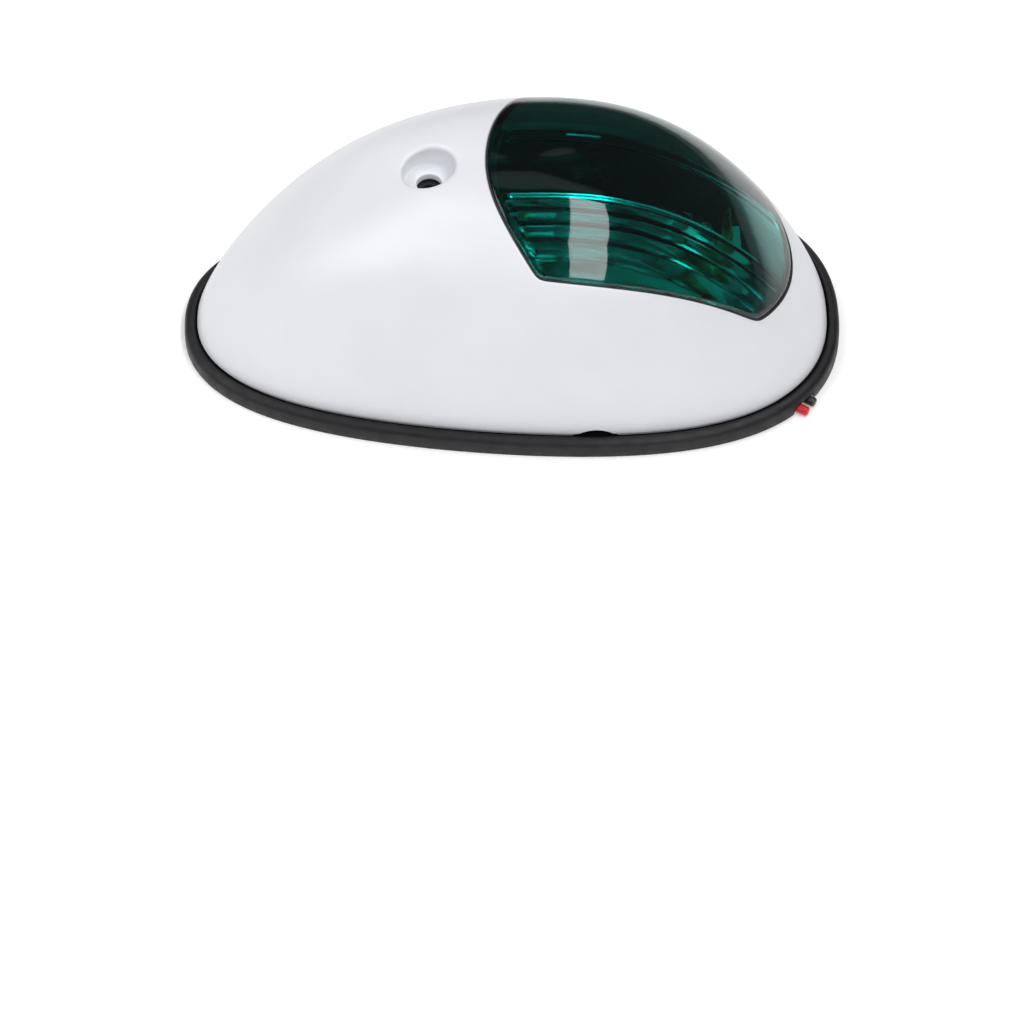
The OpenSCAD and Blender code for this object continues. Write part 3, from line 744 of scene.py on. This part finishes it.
def make_lens():
    rows = lens_rows(LENS_GAP)
    stations = np.concatenate([[0, 0.004, 0.012, 0.025], np.linspace(0.04, 0.96, 110),
                               [0.975, 0.988, 0.996, 1]])

    def sheet(gap, depth, lower=0.0):
        return sheet_points(rows, stations, gap, lambda x, y: dome_z(x, y, depth) - lower)

    outer = sheet(LENS_GAP + LENS_EDGE_ROUND, 0)
    # The edge's rounding has one ring part of the way, then the wall, the flange and the lip
    skirt = (sheet(LENS_GAP + LENS_EDGE_PART, 0, LENS_EDGE_PART),
             sheet(LENS_GAP, 0, LENS_EDGE_ROUND), sheet(LENS_GAP, FLANGE_TOP),
             sheet(-FLANGE_REACH, FLANGE_TOP), sheet(-FLANGE_REACH, FLANGE_FOOT),
             sheet(LENS_LIP, FLANGE_FOOT))
    inner = sheet(LENS_LIP, LENS_WALL)
    inner[:, :, 2] -= rib_height(inner[:, :, 0], inner[:, :, 1], inner[:, :1, 0])
    nr, ns = len(rows), len(stations)

    def walk(number):
        """number(row, column) at each place once round the grid's edge."""
        line = [number(0, c) for c in range(ns)] + [number(r, ns - 1) for r in range(1, nr)]
        line += [number(nr - 1, c) for c in range(ns - 2, -1, -1)]
        return line + [number(r, 0) for r in range(nr - 2, 0, -1)]

    points = list(outer.reshape(-1, 3))
    faces = [(r * ns + c, r * ns + c + 1, (r + 1) * ns + c + 1, (r + 1) * ns + c)
             for r in range(nr - 1) for c in range(ns - 1)]
    loops = [walk(lambda r, c: r * ns + c)]
    for grid in skirt:
        start = len(points)
        loop = walk(lambda r, c: tuple(grid[r, c]))
        points.extend(loop)
        loops.append(list(range(start, start + len(loop))))
    base = len(points)
    points.extend(inner.reshape(-1, 3))
    loops.append(walk(lambda r, c: base + r * ns + c))
    faces += bands(loops)
    faces += [(base + r * ns + c, base + (r + 1) * ns + c, base + (r + 1) * ns + c + 1,
               base + r * ns + c + 1) for r in range(nr - 1) for c in range(ns - 1)]
    piece = mesh_object("lens_moulding", points, faces, "cover", 30)
    for finish in LENS_FINISHES:
        piece.data.materials.append(MATERIALS[finish])
    centres = np.empty(len(piece.data.polygons) * 3)
    piece.data.polygons.foreach_get("center", centres)
    x, y, z = centres.reshape(-1, 3).T / MM
    rear = (z < dome_z(x, y, 1.0)) & (inside_window(x, y) > LENS_LIP + 0.2)
    index = np.where(rear & (y < -RIB_FROM), np.where(x < FROST_X, 1, 2), 0)
    # The far side's inner faces take the painted shade
    index = np.where(rear & (y > PAINTED_SHADE_FROM), 3, index)
    piece.data.polygons.foreach_set("material_index", index.astype(np.int32))
    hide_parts("lens")


make_lens()


# Section of the seal: distance inside the window's edge, and depth below the dome
SEAL_SECTION = (
    (-2.2, 2.25), (0.03, 2.25), (0.03, 0.42), (0.1, 0.32), (0.35, 0.32), (0.42, 0.42),
    (0.42, 2.95), (-1.85, 2.95), (-1.85, 3.95), (2.2, 3.95), (2.2, 4.35), (-2.2, 4.35))


def make_seal():
    """Black seal: a channel round the lens's flange, with an upstand that fills the gap."""
    angles = ray_angles()
    points, rings = [], []
    for gap, depth in SEAL_SECTION:
        x, y = along_rays(angles, window_reach(angles, gap))
        start = len(points)
        points.extend(np.column_stack([x, y, dome_z(x, y, depth)]))
        rings.append(list(range(start, start + len(angles))))
    piece = mesh_object("seal_moulding", points, bands(rings, closed=True), "cover",
                        40)
    piece.data.materials.append(MATERIALS["seal_rubber"])
    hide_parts("lens_seal")


make_seal()

# Gasket ----------------------------------------------------------------------------------------

GASKET_POINTS = 360
SLOT_FROM, SLOT_TO = (44, -13.4), (66, -27.4)
SLOT_HALF, SLOT_TOP = 2.9, 2.3
# Section from the inner edge round the lip: distance outside the outline, and height
GASKET_SECTION = (
    (-8, 0.05), (-8, 2.5), (-7.9, 2.6), (0.25, 2.6), (0.36, 2.7), (0.42, 3.5),
    (0.55, 3.85), (0.85, 4.0), (1.3, 4.0), (1.8, 3.88), (2.25, 3.6), (2.55, 3.2),
    (2.7, 2.7), (2.78, 1.6), (2.8, 0.3), (2.7, 0.06), (2.5, 0.0), (-7.8, 0.0))


def outline(count):
    """Points round the cover's outline at its foot."""
    t = np.arange(count) * 2 * math.pi / count
    u = np.cos(t)
    return np.stack([HALF_LENGTH * u, np.sign(np.sin(t)) * side(u, 0)], 1)


def outward(line):
    """Unit normals of a closed line, pointing out of it."""
    step = np.roll(line, -1, 0) - np.roll(line, 1, 0)
    return np.stack([step[:, 1], -step[:, 0]], 1) / np.hypot(step[:, 0], step[:, 1])[:, None]


def make_gasket():
    line = outline(GASKET_POINTS)
    normal = outward(line)
    way = Vector(SLOT_TO) - Vector(SLOT_FROM)
    way.normalize()
    points, rings = [], []
    for grow, z in GASKET_SECTION:
        ring = line + normal * grow
        offset = ring - np.array(SLOT_FROM)
        along = offset[:, 0] * way.x + offset[:, 1] * way.y
        aside = np.abs(offset[:, 1] * way.x - offset[:, 0] * way.y)
        height = np.full(len(line), z)
        if z < SLOT_TOP:
            in_slot = (aside < SLOT_HALF) & (along > 0)
            height = np.where(in_slot, SLOT_TOP, height)
        start = len(points)
        points.extend(np.column_stack([ring, height]))
        rings.append(list(range(start, start + len(line))))
    piece = mesh_object("gasket_moulding", points, bands(rings, closed=True), "base",
                        50)
    piece.data.materials.append(MATERIALS["gasket_rubber"])
    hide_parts("base_gasket")


make_gasket()

# CAD nodes that stay ---------------------------------------------------------------------------

NODE_FINISH = {
    "base_plate": "base_plastic", "cover_post": "base_plastic",
    "cutoff_screen": "black_plastic", "reflector": "reflector_metal",
    "lamp_holder": "holder_plastic", "holder_screws": "screw_steel",
    "contact_aft": "contact_brass", "contact_forward": "contact_brass",
    "contact_rivets": "contact_brass", "terminal_red": "tinned_terminal",
    "terminal_black": "tinned_terminal", "lamp_glass": "lamp_glass",
    "lamp_cap_aft": "cap_metal", "lamp_cap_forward": "cap_metal",
    "lamp_filament": "filament_metal", "inner_lead_red": "red_insulation",
    "inner_lead_black": "black_insulation", "lead_grommet": "gasket_rubber"}
EASED = ("base_plate", "cover_post", "cutoff_screen", "reflector", "lamp_holder",
         "holder_screws", "contact_aft", "contact_forward", "terminal_red", "terminal_black")
EDGE_EASE, EASE_FROM_ANGLE = 0.15, 40


def finish_nodes():
    for name, finish in NODE_FINISH.items():
        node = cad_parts[name]
        node.data.materials.clear()
        node.data.materials.append(MATERIALS[finish])
        if name in EASED:
            ease = node.modifiers.new("eased_edges", "BEVEL")
            ease.width = EDGE_EASE * MM
            ease.segments = 2
            ease.limit_method = "ANGLE"
            ease.angle_limit = math.radians(EASE_FROM_ANGLE)
            ease.harden_normals = False


finish_nodes()

# Floor and light -------------------------------------------------------------------------------


def area_light(name, place, aim, size, power, spread=180):
    """A rectangular light that faces aim, or straight down where aim is None."""
    data = bpy.data.lights.new(name, "AREA")
    data.shape = "RECTANGLE"
    data.size, data.size_y = size
    data.energy = power
    data.spread = math.radians(spread)
    light = bpy.data.objects.new(name, data)
    light.location = place
    if aim is not None:
        light.rotation_euler = (Vector(place) - Vector(aim)).to_track_quat("Z", "Y").to_euler()
    bpy.context.scene.collection.objects.link(light)
    return light


WORLD_STRENGTH = 0.08
FLOOR_REACH = 3.0
FLOOR_GLOW = 0.2


def make_world():
    """An even, faint white surrounding."""
    world = bpy.data.worlds.new("studio")
    world.use_nodes = True
    world.node_tree.nodes["Background"].inputs["Color"].default_value = (1, 1, 1, 1)
    world.node_tree.nodes["Background"].inputs["Strength"].default_value = WORLD_STRENGTH
    bpy.context.scene.world = world
    bpy.context.scene.view_settings.view_transform = "Standard"


def make_floor():
    """White paper, with painted shade that darkens it towards the back right."""
    mesh = bpy.data.meshes.new("floor")
    corners = ((-1, -1), (1, -1), (1, 1), (-1, 1))
    mesh.from_pydata([(x * FLOOR_REACH, y * FLOOR_REACH, 0) for x, y in corners],
                     [], [(0, 1, 2, 3)])
    floor = bpy.data.objects.new("floor", mesh)
    paper = (Finish("paper", (0.95, 0.95, 0.95), 0.9, Specular_IOR_Level=0.0,
                    Emission_Color=(1, 1, 1, 1), Emission_Strength=FLOOR_GLOW)
             .vary_colour(60, (0.93, 0.93, 0.935))
             # Painted shade: the floor turns dark towards the back right
             .fade_towards((1, 1, 0), 0.17, 0.4, (0.08, 0.08, 0.085)))
    mesh.materials.append(paper.material)
    bpy.context.scene.collection.objects.link(floor)


def make_lights():
    """Places and sizes are in metres, powers in watts."""
    # Strip light in two lengths: flat overhead, then sloping down in front
    strip_x, bend = 0.275, Vector((0.275, -0.28, 0.86))
    slope = Vector((0, -0.92, -0.33))
    area_light("strip_top", (strip_x, 0.11, 0.86), None, (0.235, 0.78), 3.55)
    front = area_light("strip_front", bend + slope / 2, None, (0.235, slope.length), 4.5)
    front.rotation_euler = (math.atan2(-slope.z, -slope.y), 0, 0)
    # Faint panel behind, and soft fills from above and from the nose's side
    area_light("back_panel", (0.16, 0.7, 0.9), None, (0.55, 0.15), 0.06)
    area_light("top_softbox", (-0.38, 0.3, 0.95), (0, 0, 0.02), (0.45, 0.45), 1.8)
    area_light("nose_softbox", (-0.9, -0.25, 0.8), (0, 0, 0.02), (0.9, 0.9), 6.5)
    # Narrow light on the floor behind, which the lens mirrors along its far edge
    area_light("back_floor", (0.17, 0.95, 1.0), (0.12, 0.33, 0), (0.3, 0.1), 0.6, spread=22)


make_world()
make_floor()
make_lights()
